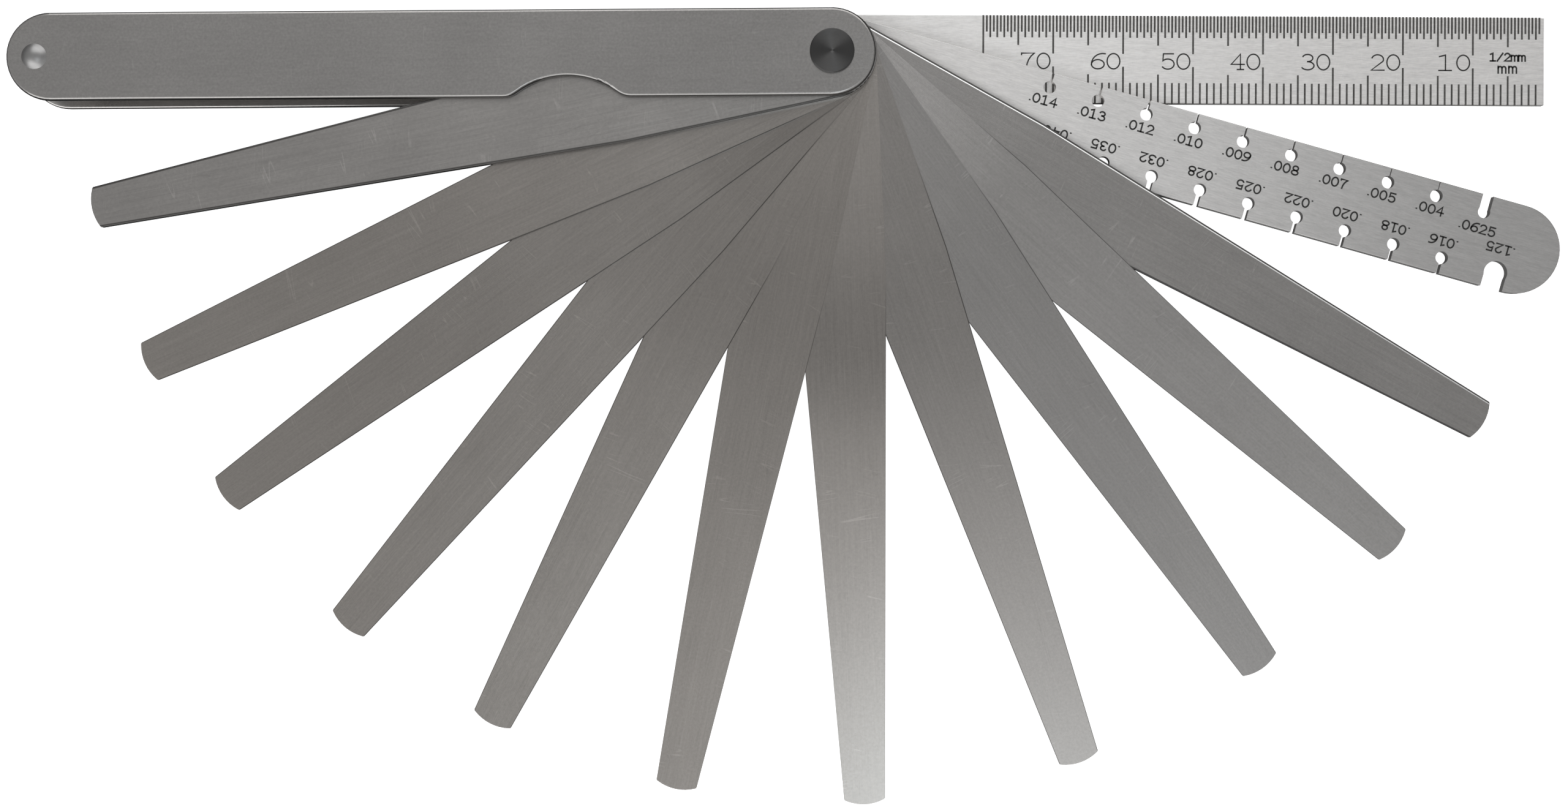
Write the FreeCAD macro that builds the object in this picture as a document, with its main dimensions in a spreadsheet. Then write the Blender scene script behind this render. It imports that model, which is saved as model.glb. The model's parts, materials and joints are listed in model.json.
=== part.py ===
"""Feeler gauge: eleven tapered leaves, a wire gauge and a rule that fan out of a two-plate case on one pivot.

Frame: millimetres, +Z up. The origin is on the pivot axis, in the flat rear face of the pivot. The case runs
from the pivot towards -X and lies flat in XY, its front plate up. Every blade is drawn along +X from the
pivot and is then turned about the pivot axis: at -180 degrees it is folded into the case.
"""
import FreeCAD, Part
import os
import re
import Sketcher

# Driving dimensions, in millimetres unless the name says otherwise.
SIZES = {
    # Case: two flat plates with full-round ends, joined by the pivot and by the rivet at the far end.
    "case_half_width": 6.18,
    "case_far_centre": 109.55,
    "case_plate_thickness": 0.9,
    "case_outer_edge_round": 0.45,
    "case_inner_edge_round": 0.3,
    "notch_station": 37.2,
    "notch_depth": 2.96,
    "notch_radius": 11.8,
    "notch_corner_radius": 3.4,
    # Pivot: a turned pin with a flat head in front and a flat collar riveted on behind.
    "pivot_shank_radius": 2.4,
    "pivot_head_radius": 3.12,
    "pivot_head_height": 0.45,
    "pivot_head_chamfer": 0.12,
    "pivot_centre_radius": 0.35,
    "pivot_centre_depth": 0.12,
    "pivot_hole_clearance": 0.04,
    "fixed_fit_clearance": 0.015,
    # Spring washer: a shallow cone that presses the blades together.
    "washer_outer_radius": 5.0,
    "washer_thickness": 0.25,
    "washer_dish": 0.4,
    # Far end of the case: a domed rivet through a spacer tube.
    "rivet_station": 111.7,
    "rivet_shank_radius": 1.2,
    "rivet_head_radius": 1.78,
    "rivet_head_height": 0.68,
    "rivet_rear_flat_radius": 0.9,
    "spacer_radius": 2.75,
    # Blades: all share the pivot hole and the gap to the next one in the stack, and all but the rule the width.
    "blade_half_width": 6.35,
    "blade_gap": 0.03,
    "leaf_parallel_length": 31.0,
    "leaf_reach": 106.3,
    "leaf_tip_half_width": 2.9,
    "leaf_tip_radius": 6.35,
    "leaf_corner_round": 0.3,
    "blade_edge_round_share": 0.15,
    # Wire gauge: a row of holes along each edge, each with a slit out to the edge, and two wide slots.
    "wire_gauge_reach": 107.5,
    "wire_gauge_thickness": 1.1,
    "wire_gauge_opening": 163.9,
    "hole_radius": 0.89,
    "hole_pitch": 7.144,
    "upper_row_start": 31.1,
    "upper_row_offset": 4.22,
    "lower_row_start": 34.2,
    "lower_row_offset": 4.05,
    "upper_slot_station": 95.4,
    "upper_slot_depth": 3.3,
    "lower_slot_station": 99.3,
    "lower_slot_depth": 3.9,
    "slot_bottom_relief": 0.086,
    # Rule: a plain parallel blade with a square end, slightly narrower than the others.
    "rule_half_width": 6.25,
    "rule_reach": 101.93,
    "rule_thickness": 1.0,
    "rule_opening": 179.33,
}

# Leaves from the front of the stack to the back: thickness in thousandths of an inch, and how far each one
# is fanned out of the case, in degrees.
LEAVES = (
    (35, 11.5),
    (12, 23.9),
    (10, 35.62),
    (8, 49.25),
    (6, 62.55),
    (4, 77.59),
    (3, 92.15),
    (2, 108.99),
    (2.5, 124.7),
    (5, 138.52),
    (18, 150.29),
)

# Leaves at least this thick, in thousandths of an inch, have their front edges rounded. The radius is a share of
# the thickness, as on the wire gauge and the rule.
THICK_LEAF = 10

# Slits of the wire gauge from the pivot outwards, as wire sizes in thousandths of an inch.
UPPER_SLITS = (14, 13, 12, 10, 9, 8, 7, 5, 4)
LOWER_SLITS = (40, 35, 32, 28, 25, 22, 20, 18, 16)
UPPER_SLOT = 62.5
LOWER_SLOT = 125

INCH = 25.4
NEAR = 1e-4
FOLDED = -180.0
Z_AXIS = FreeCAD.Vector(0, 0, 1)

doc = FreeCAD.newDocument("feeler_gauge")
sheet = doc.addObject("Spreadsheet::Sheet", "Sizes")


# ---- the sheet ----

def fill_sheet():
    """Writes every driving dimension into the sheet as a plain number with an alias."""
    cells = dict(SIZES)
    for number, (thickness, opening) in enumerate(LEAVES, start=1):
        cells[leaf_alias("thickness", number)] = round(thickness / 1000 * INCH, 4)
        cells[leaf_alias("opening", number)] = opening
    for size in UPPER_SLITS + LOWER_SLITS + (UPPER_SLOT, LOWER_SLOT):
        cells[slit_alias(size)] = round(size / 1000 * INCH, 4)
    for row, (alias, value) in enumerate(cells.items(), start=1):
        sheet.set(f"A{row}", alias)
        sheet.set(f"B{row}", str(value))
        sheet.setAlias(f"B{row}", alias)
    doc.recompute()


def leaf_alias(what, number):
    return f"leaf_{what}_{number:02d}"


def slit_alias(size):
    """The cell for the width of this wire size's slit. Its number is in ten-thousandths of an inch."""
    return f"slit_width_{round(size * 10):04d}"


def linked(text):
    """An expression whose aliases are read from the sheet."""
    return re.sub(r"[a-z]+_\w+", r"Sizes.\g<0>", text)


def value_of(text):
    """The number that an expression of aliases gives."""
    return float(sheet.evalExpression(linked(text)))


# ---- sketches ----

class Outline:
    """A sketch whose points are placed by expressions, on an origin plane of its own body."""

    def __init__(self, body, name, plane="XY_Plane"):
        self.sketch = body.newObject("Sketcher::SketchObject", name)
        origin_plane = next(f for f in body.Origin.OriginFeatures if f.Role == plane)
        self.sketch.AttachmentSupport = [(origin_plane, "")]
        self.sketch.MapMode = "FlatFace"

    def bind(self, kind, points, text):
        """Adds a dimension and binds it to an expression. Its value is never negative."""
        index = self.sketch.addConstraint(Sketcher.Constraint(kind, *points, value_of(text)))
        self.sketch.setExpression(f"Constraints[{index}]", linked(text))

    def place(self, geometry, point, x=None, y=None):
        """Places one point of the sketch. An expression that starts with a minus is on the negative side."""
        for kind, text in (("DistanceX", x), ("DistanceY", y)):
            if text is None:
                continue
            if text == "0":
                axis = -2 if kind == "DistanceX" else -1
                self.sketch.addConstraint(Sketcher.Constraint("PointOnObject", geometry, point, axis))
            elif text.startswith("-"):
                self.bind(kind, (geometry, point, -1, 1), text[1:])
            else:
                self.bind(kind, (-1, 1, geometry, point), text)

    def ring(self, steps):
        """Draws a closed outline. A step is (x, y) for a corner that a line leaves, or (x, y, arc), where arc
        is (centre x, centre y, clockwise, fixed) and fixed names the centre's coordinate that is bound."""
        corners = [FreeCAD.Vector(signed_value(s[0]), signed_value(s[1]), 0) for s in steps]
        ids = []
        for index, step in enumerate(steps):
            start = corners[index]
            end = corners[(index + 1) % len(steps)]
            ids.append(self.line(start, end) if len(step) == 2 else self.arc(start, end, step[2]))
        starts = [start_point(step) for step in steps]
        ends = [3 - start for start in starts]
        for index, step in enumerate(steps):
            after = (index + 1) % len(steps)
            joint = (ids[index], ends[index], ids[after], starts[after])
            self.sketch.addConstraint(Sketcher.Constraint("Coincident", *joint))
            self.place(ids[index], starts[index], step[0], step[1])
            if len(step) == 3:
                centre_x, centre_y, _, fixed = step[2]
                wanted = {"x": centre_x} if fixed == "x" else {"y": centre_y}
                self.place(ids[index], 3, **wanted)

    def line(self, start, end):
        return self.sketch.addGeometry(Part.LineSegment(start, end))

    def arc(self, start, end, how):
        centre = FreeCAD.Vector(signed_value(how[0]), signed_value(how[1]), 0)
        first, last = (end, start) if how[2] else (start, end)
        circle = Part.Circle(centre, Z_AXIS, (start - centre).Length)
        return self.sketch.addGeometry(Part.ArcOfCircle(circle, circle.parameter(first), circle.parameter(last)))

    def hole(self, x, y, radius):
        """Draws a circle."""
        centre = FreeCAD.Vector(signed_value(x), signed_value(y), 0)
        circle = self.sketch.addGeometry(Part.Circle(centre, Z_AXIS, value_of(radius)))
        self.place(circle, 3, x, y)
        self.bind("Radius", (circle,), radius)


def start_point(step):
    """Which end of a step's edge is its start: a clockwise arc is stored the other way round."""
    return 2 if len(step) == 3 and step[2][2] else 1


def signed_value(text):
    return -value_of(text[1:]) if text.startswith("-") else value_of(text)


# ---- features ----

def new_body(name, height, opening=None):
    """A body that lies at a height in the stack and is folded out of the case by an opening angle."""
    body = doc.addObject("PartDesign::Body", name)
    body.Label = name
    body.Placement = FreeCAD.Placement(FreeCAD.Vector(0, 0, 0), FreeCAD.Rotation(Z_AXIS, FOLDED))
    body.setExpression("Placement.Base.z", linked(height))
    if opening:
        body.setExpression("Placement.Rotation.Angle", linked(f"{FOLDED:g} + {opening}"))
    return body


def pad(body, outline, thickness):
    feature = body.newObject("PartDesign::Pad", outline.sketch.Name + "_pad")
    feature.Profile = outline.sketch
    feature.setExpression("Length", linked(thickness))
    outline.sketch.Visibility = False
    doc.recompute()
    return feature


def cut_through(body, outline):
    """Cuts the outline through the whole plate above its sketch."""
    feature = body.newObject("PartDesign::Pocket", outline.sketch.Name + "_cut")
    feature.Profile = outline.sketch
    feature.Type = "ThroughAll"
    feature.Reversed = True
    doc.recompute()
    return feature


def turn(body, outline):
    """Turns a profile drawn in XZ about the Z axis."""
    feature = body.newObject("PartDesign::Revolution", outline.sketch.Name + "_turned")
    feature.Profile = outline.sketch
    feature.ReferenceAxis = (outline.sketch, ["V_Axis"])
    feature.Angle = 360
    doc.recompute()
    return feature


def round_edges(body, edges, radius):
    """Rounds the named edges of the body's last feature."""
    base = body.Tip
    feature = body.newObject("PartDesign::Fillet", f"{base.Name}_rounded")
    feature.Base = (base, edges)
    feature.setExpression("Radius", linked(radius))
    body.Tip = feature
    doc.recompute()
    return feature


def rim(feature, height):
    """The names of the edges round the outside of a plate's flat face at this height."""
    flat = next(
        face for face in feature.Shape.Faces
        if isinstance(face.Surface, Part.Plane) and abs(face.BoundBox.ZMin - height) < NEAR
        and abs(face.BoundBox.ZMax - height) < NEAR
    )
    wanted = flat.OuterWire.Edges
    return [
        f"Edge{index}" for index, edge in enumerate(feature.Shape.Edges, start=1)
        if any(edge.isSame(other) for other in wanted)
    ]


def upright_edges(feature, x):
    """The names of the edges that stand along Z at this distance along the blade."""
    return [
        f"Edge{index}" for index, edge in enumerate(feature.Shape.Edges, start=1)
        if all(abs(vertex.X - x) < NEAR for vertex in edge.Vertexes)
        and edge.BoundBox.YLength < NEAR < edge.BoundBox.ZLength
    ]


# ---- the stack, from the rest plane upwards ----

CASE_INSIDE = "pivot_head_height + case_plate_thickness"
WASHER_TOP = f"{CASE_INSIDE} + washer_thickness + washer_dish"
RULE_FLOOR = f"{WASHER_TOP} + blade_gap"
WIRE_GAUGE_FLOOR = f"{RULE_FLOOR} + rule_thickness + blade_gap"


def leaf_floor(number):
    """The height of a leaf's rear face: every leaf with a higher number lies under it."""
    below = [f"{leaf_alias('thickness', n)} + blade_gap" for n in range(number + 1, len(LEAVES) + 1)]
    return " + ".join([WIRE_GAUGE_FLOOR, "wire_gauge_thickness", "blade_gap"] + below)


FRONT_PLATE_FLOOR = f"{leaf_floor(1)} + {leaf_alias('thickness', 1)} + blade_gap"
FRONT_PLATE_TOP = f"{FRONT_PLATE_FLOOR} + case_plate_thickness"
BLADE_HOLE = "pivot_shank_radius + pivot_hole_clearance"


# ---- case ----

def case_plate(name, height, front):
    """A flat plate with full-round ends and a thumb notch in the edge that the blades leave by."""
    body = new_body(name, height)
    outline = Outline(body, f"{name}_outline")
    near_end = ("0", "0", False, "x")
    far_end = ("case_far_centre", "0", False, "x")
    outline.ring([
        ("0", "case_half_width", near_end),
        ("0", "-case_half_width"),
        ("case_far_centre", "-case_half_width", far_end),
        ("case_far_centre", "case_half_width"),
    ])
    outline.hole("0", "0", "pivot_shank_radius + fixed_fit_clearance")
    outline.hole("rivet_station", "0", "rivet_shank_radius + fixed_fit_clearance")
    pad(body, outline, "case_plate_thickness")
    cut_through(body, notch_outline(body, name))
    faces = (value_of("case_plate_thickness"), 0)
    outer_face, inner_face = faces if front else reversed(faces)
    round_edges(body, rim(body.Tip, outer_face), "case_outer_edge_round")
    round_edges(body, rim(body.Tip, inner_face), "case_inner_edge_round")
    return body


def notch_outline(body, name):
    """The thumb notch: one large arc that a smaller arc blends into the straight edge on either side."""
    both = "(notch_radius + notch_corner_radius)"
    half = f"sqrt(notch_depth * (2 * {both} - notch_depth))"
    meet_x = f"{half} * notch_radius / {both}"
    corner_y = "case_half_width - notch_corner_radius"
    meet_y = f"{corner_y} + ({both} - notch_depth) * notch_corner_radius / {both}"
    arc_y = "case_half_width - notch_depth + notch_radius"
    left = f"notch_station - {half}"
    right = f"notch_station + {half}"
    outline = Outline(body, f"{name}_notch")
    outline.ring([
        (left, "case_half_width", (left, corner_y, True, "x")),
        (f"notch_station - {meet_x}", meet_y, ("notch_station", arc_y, False, "y")),
        (f"notch_station + {meet_x}", meet_y, (right, corner_y, True, "x")),
        (right, "case_half_width"),
        (right, "case_half_width + notch_depth"),
        (left, "case_half_width + notch_depth"),
    ])
    return outline


def pivot_pin():
    """The turned pin that every blade swings on, with its head in front of the case."""
    body = new_body("pivot_pin", "0")
    outline = Outline(body, "pivot_pin_profile", "XZ_Plane")
    top = f"{FRONT_PLATE_TOP} + pivot_head_height"
    outline.ring([
        ("0", "0"),
        ("pivot_shank_radius", "0"),
        ("pivot_shank_radius", FRONT_PLATE_TOP),
        ("pivot_head_radius", FRONT_PLATE_TOP),
        ("pivot_head_radius", f"{top} - pivot_head_chamfer"),
        ("pivot_head_radius - pivot_head_chamfer", top),
        ("pivot_centre_radius", top),
        ("0", f"{top} - pivot_centre_depth"),
    ])
    turn(body, outline)
    return body


def pivot_collar():
    """The flat collar that is riveted onto the pin's rear end and holds the case together."""
    body = new_body("pivot_collar", "0")
    outline = Outline(body, "pivot_collar_profile", "XZ_Plane")
    bore = "pivot_shank_radius + fixed_fit_clearance"
    outline.ring([
        (bore, "0"),
        ("pivot_head_radius - pivot_head_chamfer", "0"),
        ("pivot_head_radius", "pivot_head_chamfer"),
        ("pivot_head_radius", "pivot_head_height"),
        (bore, "pivot_head_height"),
    ])
    turn(body, outline)
    return body


def spring_washer():
    """The dished washer between the back plate and the rule that keeps the stack under light friction."""
    body = new_body("spring_washer", CASE_INSIDE)
    outline = Outline(body, "spring_washer_profile", "XZ_Plane")
    bore = "pivot_shank_radius + pivot_hole_clearance"
    outline.ring([
        ("washer_outer_radius", "0"),
        ("washer_outer_radius", "washer_thickness"),
        (bore, "washer_thickness + washer_dish"),
        (bore, "washer_dish"),
    ])
    turn(body, outline)
    return body


def at_far_end(body):
    """Moves a turned piece to the far end of the case, which runs towards -X."""
    body.setExpression("Placement.Base.x", linked("-1 * rivet_station"))


def end_rivet():
    """The rivet at the far end: a polished dome in front and a low dome with a flat behind."""
    body = new_body("end_rivet", "0")
    at_far_end(body)
    outline = Outline(body, "end_rivet_profile", "XZ_Plane")
    top = f"{FRONT_PLATE_TOP} + rivet_head_height"
    dome = "((rivet_head_radius ^ 2 + rivet_head_height ^ 2) / (2 * rivet_head_height))"
    outline.ring([
        ("0", "0"),
        ("rivet_rear_flat_radius", "0"),
        ("rivet_head_radius", "pivot_head_height"),
        ("rivet_shank_radius", "pivot_head_height"),
        ("rivet_shank_radius", FRONT_PLATE_TOP),
        ("rivet_head_radius", FRONT_PLATE_TOP, ("0", f"{top} - {dome}", False, "x")),
        ("0", top),
    ])
    turn(body, outline)
    return body


def end_spacer():
    """The tube round the rivet that holds the plates apart."""
    body = new_body("end_spacer", CASE_INSIDE)
    at_far_end(body)
    outline = Outline(body, "end_spacer_outline")
    outline.hole("0", "0", "spacer_radius")
    outline.hole("0", "0", "rivet_shank_radius + fixed_fit_clearance")
    pad(body, outline, f"{FRONT_PLATE_FLOOR} - ({CASE_INSIDE})")
    return body


# ---- blades ----

def round_end(half_width="blade_half_width"):
    """The full-round end that every blade has at the pivot."""
    return ("0", half_width, ("0", "0", False, "x"))


def round_front_edges(body, thickness):
    """Takes the sharpness off the edges round a blade's front face."""
    round_edges(body, rim(body.Tip, value_of(thickness)), f"blade_edge_round_share * {thickness}")


def feeler_leaf(number, thickness):
    """A leaf: parallel near the pivot, then tapered to a narrow tip that keeps part of the full-round end."""
    name = f"feeler_leaf_{number:02d}"
    body = new_body(name, leaf_floor(number), leaf_alias("opening", number))
    tip_centre = "leaf_reach - leaf_tip_radius"
    corner = f"{tip_centre} + sqrt(leaf_tip_radius ^ 2 - leaf_tip_half_width ^ 2)"
    outline = Outline(body, f"{name}_outline")
    outline.ring([
        round_end(),
        ("0", "-blade_half_width"),
        ("leaf_parallel_length", "-blade_half_width"),
        (corner, "-leaf_tip_half_width", (tip_centre, "0", False, "x")),
        (corner, "leaf_tip_half_width"),
        ("leaf_parallel_length", "blade_half_width"),
    ])
    outline.hole("0", "0", BLADE_HOLE)
    plate = pad(body, outline, leaf_alias("thickness", number))
    round_edges(body, upright_edges(plate, value_of(corner)), "leaf_corner_round")
    if thickness >= THICK_LEAF:
        round_front_edges(body, leaf_alias("thickness", number))
    return body


def wire_gauge():
    """The blade with a hole and slit for each wire size along both edges, and a wide slot near the tip in each."""
    body = new_body("wire_gauge", WIRE_GAUGE_FLOOR, "wire_gauge_opening")
    far_centre = "wire_gauge_reach - blade_half_width"
    outline = Outline(body, "wire_gauge_outline")
    outline.ring([
        round_end(),
        ("0", "-blade_half_width"),
        (far_centre, "-blade_half_width", (far_centre, "0", False, "x")),
        (far_centre, "blade_half_width"),
    ])
    outline.hole("0", "0", BLADE_HOLE)
    pad(body, outline, "wire_gauge_thickness")
    round_front_edges(body, "wire_gauge_thickness")
    for row, side, slits in (("upper", "", UPPER_SLITS), ("lower", "-", LOWER_SLITS)):
        hole_row(body, row, side, len(slits))
        for place, size in enumerate(slits):
            station = f"{row}_row_start + {place} * hole_pitch"
            slit(body, f"slit_{size:03d}", side, station, f"{row}_row_offset", slit_alias(size))
    wide_slot(body, "upper_slot", "", slit_alias(UPPER_SLOT))
    wide_slot(body, "lower_slot", "-", slit_alias(LOWER_SLOT))
    return body


def hole_row(body, row, side, count):
    """One row of equal holes at an even pitch."""
    outline = Outline(body, f"{row}_hole")
    outline.hole(f"{row}_row_start", f"{side}{row}_row_offset", "hole_radius")
    first = cut_through(body, outline)
    pattern = body.newObject("PartDesign::LinearPattern", f"{row}_holes")
    pattern.Originals = [first]
    pattern.Direction = (outline.sketch, ["H_Axis"])
    pattern.setExpression("Length", linked(f"{count - 1} * hole_pitch"))
    pattern.Occurrences = count
    body.Tip = pattern
    doc.recompute()
    return pattern


def slit(body, name, side, station, inner, width):
    """A straight slit from a hole's centre out past the blade's edge."""
    outer = "(blade_half_width + hole_radius)"
    low = f"{station} - {width} / 2"
    high = f"{station} + {width} / 2"
    outline = Outline(body, name)
    steps = [
        (low, f"{side}{inner}"),
        (high, f"{side}{inner}"),
        (high, f"{side}{outer}"),
        (low, f"{side}{outer}"),
    ]
    outline.ring(steps)
    return cut_through(body, outline)


def wide_slot(body, name, side, width):
    """A slot with a round bottom, open at the blade's edge."""
    centre = f"(blade_half_width - {name}_depth + {width} / 2)"
    slit(body, name, side, f"{name}_station", centre, width)
    outline = Outline(body, f"{name}_bottom")
    outline.hole(f"{name}_station", f"{side}{centre}", f"{width} / 2 + slot_bottom_relief")
    return cut_through(body, outline)


def rule():
    """The rule: round at the pivot, parallel, and square at the end that its scale starts from."""
    body = new_body("rule", RULE_FLOOR, "rule_opening")
    outline = Outline(body, "rule_outline")
    outline.ring([
        round_end("rule_half_width"),
        ("0", "-rule_half_width"),
        ("rule_reach", "-rule_half_width"),
        ("rule_reach", "rule_half_width"),
    ])
    outline.hole("0", "0", BLADE_HOLE)
    pad(body, outline, "rule_thickness")
    round_front_edges(body, "rule_thickness")
    return body


# ---- assembly ----

def build():
    fill_sheet()
    bodies = [
        case_plate("back_plate", "pivot_head_height", front=False),
        case_plate("front_plate", FRONT_PLATE_FLOOR, front=True),
        pivot_pin(),
        pivot_collar(),
        spring_washer(),
        end_rivet(),
        end_spacer(),
        rule(),
        wire_gauge(),
    ]
    for number, (thickness, _) in enumerate(LEAVES, start=1):
        bodies.append(feeler_leaf(number, thickness))
    return bodies


def check(bodies):
    """Stops if an object failed, a cut removed nothing, or a piece isn't one valid solid."""
    doc.recompute()
    for item in doc.Objects:
        if "Invalid" in item.State or "Error" in item.State:
            raise RuntimeError(f"{item.Name} failed: {item.State}")
    for body in bodies:
        for feature in body.Group:
            if feature.TypeId in ("PartDesign::Pocket", "PartDesign::LinearPattern"):
                removed = feature.BaseFeature.Shape.Volume - feature.Shape.Volume
                if removed <= 0:
                    raise RuntimeError(f"{feature.Name} cut nothing")
        shape = body.Shape
        if shape.isNull() or not shape.isValid() or len(shape.Solids) != 1:
            raise RuntimeError(f"{body.Label} isn't one valid solid")


def write(bodies):
    os.makedirs("parts", exist_ok=True)
    for body in bodies:
        body.Shape.exportStep(f"parts/{body.Label}.step")
        box = body.Shape.BoundBox
        print(f"{body.Label:16s} z {box.ZMin:6.3f} to {box.ZMax:6.3f}  volume {body.Shape.Volume:9.3f}")


all_bodies = build()
check(all_bodies)
write(all_bodies)
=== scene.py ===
"""Feeler gauge: steel finishes, engraved marks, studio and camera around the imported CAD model.

Everything is in metres in the model's own frame. The pivot axis is +Z through the origin, the case lies along
-X, the blades fan out below it, and the camera looks straight down.
"""
import json
import math

import bmesh
import bpy
from mathutils import Matrix, Vector


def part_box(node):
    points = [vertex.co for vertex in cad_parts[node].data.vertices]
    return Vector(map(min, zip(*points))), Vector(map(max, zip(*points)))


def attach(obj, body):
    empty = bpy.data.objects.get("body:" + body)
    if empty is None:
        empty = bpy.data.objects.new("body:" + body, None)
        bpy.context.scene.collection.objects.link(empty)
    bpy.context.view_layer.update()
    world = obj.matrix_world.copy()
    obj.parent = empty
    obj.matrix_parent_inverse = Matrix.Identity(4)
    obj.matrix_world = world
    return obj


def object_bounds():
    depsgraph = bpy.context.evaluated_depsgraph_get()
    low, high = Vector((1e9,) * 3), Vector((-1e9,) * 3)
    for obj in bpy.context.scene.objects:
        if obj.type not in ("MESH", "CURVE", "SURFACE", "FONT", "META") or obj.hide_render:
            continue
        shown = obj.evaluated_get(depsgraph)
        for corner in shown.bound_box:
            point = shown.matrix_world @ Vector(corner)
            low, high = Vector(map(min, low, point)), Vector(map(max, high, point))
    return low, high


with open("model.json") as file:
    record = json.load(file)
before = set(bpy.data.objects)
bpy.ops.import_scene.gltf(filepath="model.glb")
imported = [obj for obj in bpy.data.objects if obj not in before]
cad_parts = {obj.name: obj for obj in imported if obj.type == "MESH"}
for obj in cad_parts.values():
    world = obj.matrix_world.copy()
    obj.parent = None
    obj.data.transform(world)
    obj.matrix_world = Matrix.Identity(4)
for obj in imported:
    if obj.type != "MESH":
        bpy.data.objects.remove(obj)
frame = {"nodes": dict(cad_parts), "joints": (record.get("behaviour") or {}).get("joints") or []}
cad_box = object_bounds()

MM = 0.001
MICRON = 1e-6
OBJECT_LOW, OBJECT_HIGH = cad_box
OBJECT_CENTRE = (OBJECT_LOW + OBJECT_HIGH) / 2


# ---- the blades' own frames ----

class Blade:
    """A blade's own frame: along it from the pivot axis, and across it towards its upper edge."""

    def __init__(self, name):
        joint = next(j for j in frame["joints"] if j["child"] == name)
        opening = -joint["range_deg"][0]
        vertices = frame["nodes"][name].data.vertices
        self.angle = math.radians(opening - 180)
        self.turn = Matrix.Rotation(self.angle, 4, "Z")
        self.along = self.turn @ Vector((1, 0, 0))
        self.across = self.turn @ Vector((0, 1, 0))
        self.reach = max(v.co.dot(self.along) for v in vertices)
        self.half_width = max(v.co.dot(self.across) for v in vertices)
        self.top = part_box(name)[1].z


LEAF_NAMES = [f"feeler_leaf_{number:02d}" for number in range(1, 12)]
BLADES = {name: Blade(name) for name in LEAF_NAMES + ["wire_gauge", "rule"]}

# Where a leaf's taper starts, and its half width at the tip.
LEAF_PARALLEL_LENGTH = 31.0 * MM
LEAF_TIP_HALF_WIDTH = 2.9 * MM
# The leaf whose upper edge has a painted highlight, at the back of the fan.
GLINTING_LEAF = "feeler_leaf_11"


# ---- shader graphs ----

class Graph:
    """The node tree of one material or world, with short ways to add linked nodes."""

    def __init__(self, tree):
        self.tree = tree
        tree.nodes.clear()

    def add(self, kind, inputs=None, **settings):
        """Adds a node. An input is a value or another node's output, by socket name or number."""
        node = self.tree.nodes.new(kind)
        for name, value in settings.items():
            setattr(node, name, value)
        for key, value in (inputs or {}).items():
            self.feed(node.inputs[key], value)
        return node

    def feed(self, socket, value):
        if isinstance(value, bpy.types.NodeSocket):
            self.tree.links.new(value, socket)
        elif value is not None:
            socket.default_value = value

    def maths(self, operation, *values):
        node = self.add("ShaderNodeMath", dict(enumerate(values)), operation=operation)
        return node.outputs[0]

    def vector(self, operation, *values):
        node = self.add("ShaderNodeVectorMath", dict(enumerate(values)), operation=operation)
        return node.outputs["Value" if operation in ("DOT_PRODUCT", "LENGTH") else "Vector"]

    def scaled(self, vector, factor):
        node = self.add("ShaderNodeVectorMath", {"Vector": vector, "Scale": factor}, operation="SCALE")
        return node.outputs["Vector"]

    def ease(self, value, low, high, at_low=0.0, at_high=1.0):
        """Goes smoothly from at_low to at_high as the value goes from low to high."""
        inputs = {"Value": value, "From Min": low, "From Max": high, "To Min": at_low, "To Max": at_high}
        return self.add("ShaderNodeMapRange", inputs, interpolation_type="SMOOTHSTEP").outputs["Result"]

    def noise(self, place, cells, detail=2.0, roughness=0.5):
        """Noise from 0 to 1 whose cells have these sizes in metres."""
        scale = tuple(1 / size for size in cells)
        inputs = {"Vector": self.vector("MULTIPLY", place, scale), "Scale": 1.0, "Detail": detail,
                  "Roughness": roughness}
        return self.add("ShaderNodeTexNoise", inputs, noise_dimensions="3D").outputs["Fac"]

    def turned(self, place, angle):
        """The place as seen from axes that are turned about Z by this angle."""
        inputs = {"Vector": place, "Rotation": (0, 0, -angle)}
        return self.add("ShaderNodeMapping", inputs, vector_type="POINT").outputs["Vector"]

    def split(self, vector):
        return self.add("ShaderNodeSeparateXYZ", {0: vector}).outputs

    def to_world(self, vector):
        """A direction of the object as a direction of the world, so that it turns with the body."""
        return self.add("ShaderNodeVectorTransform", {"Vector": vector}, vector_type="VECTOR",
                        convert_from="OBJECT", convert_to="WORLD").outputs["Vector"]

    def mixed(self, share, low, high):
        """A colour between two colours."""
        node = self.add("ShaderNodeMix", data_type="RGBA")
        self.feed(node.inputs["Factor"], share)
        self.feed(node.inputs["A"], low)
        self.feed(node.inputs["B"], high)
        return node.outputs["Result"]


def grey(level, warmth=0.0):
    """A linear grey. Warmth moves it from blue towards red."""
    return (level * (1 + warmth), level, level * (1 - warmth), 1.0)


def new_graph(name):
    material = bpy.data.materials.new(name)
    material.use_nodes = True
    return material, Graph(material.node_tree)


def finish_metal(graph, **sockets):
    """The metal shader. Numbers that are the same all over are set on its own sockets."""
    inputs = {name.replace("_", " "): value for name, value in sockets.items()}
    shader = graph.add("ShaderNodeBsdfPrincipled", {"Metallic": 1.0, **inputs})
    graph.add("ShaderNodeOutputMaterial", {"Surface": shader.outputs["BSDF"]})


def paint(name, material):
    """Gives every material slot of a CAD node this material."""
    slots = frame["nodes"][name].material_slots
    for slot in slots:
        slot.material = material
    if not slots:
        frame["nodes"][name].data.materials.append(material)
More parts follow.
